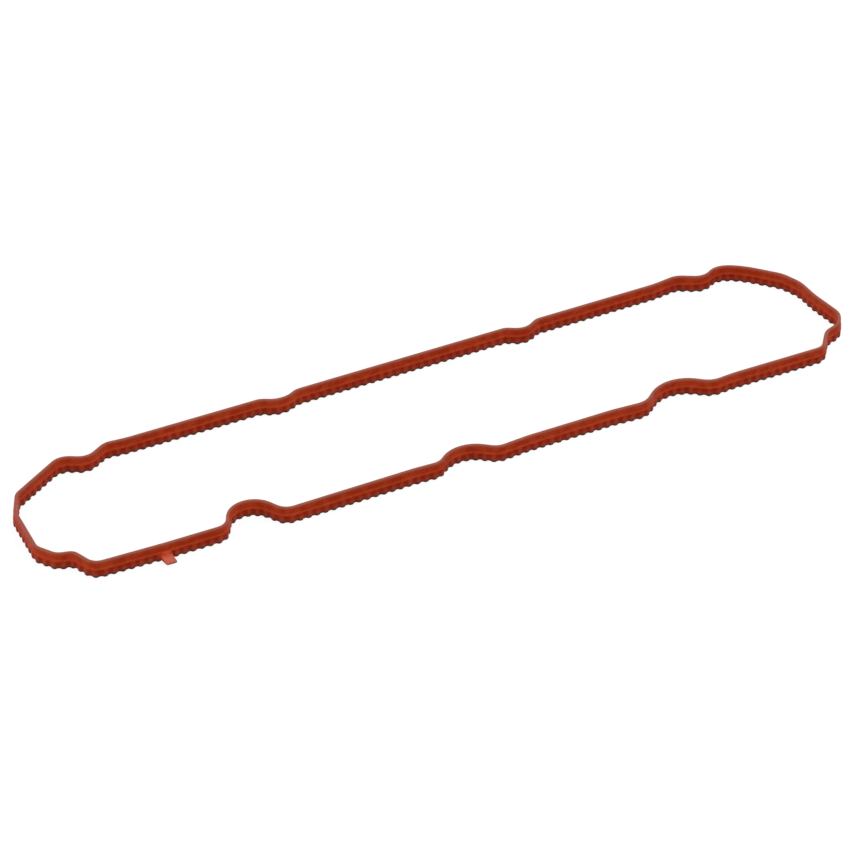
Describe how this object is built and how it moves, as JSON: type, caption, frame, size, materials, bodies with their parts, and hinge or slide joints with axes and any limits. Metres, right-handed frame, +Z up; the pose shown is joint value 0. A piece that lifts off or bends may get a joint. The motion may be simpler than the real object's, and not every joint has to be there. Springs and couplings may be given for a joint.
{
  "type": "intake manifold gasket",
  "caption": "Closed-loop moulded silicone seal with a ridged wall, ribbed feet, bends round its bolts and a flat locating tab.",
  "frame": {"origin": "middle of the bounding box, on the plane that the ribs' feet rest on", "axes": "+X along the loop's length, +Y from the side with the tab to the side without it, +Z up from the feet to the crown"},
  "size_m": [0.3896, 0.0848, 0.0082],
  "materials": {
    "silicone": "brick-red moulded silicone, satin, with a paler dusty crown"
  },
  "bodies": {
    "root": {"gasket": "silicone"}
  },
  "joints": []
}
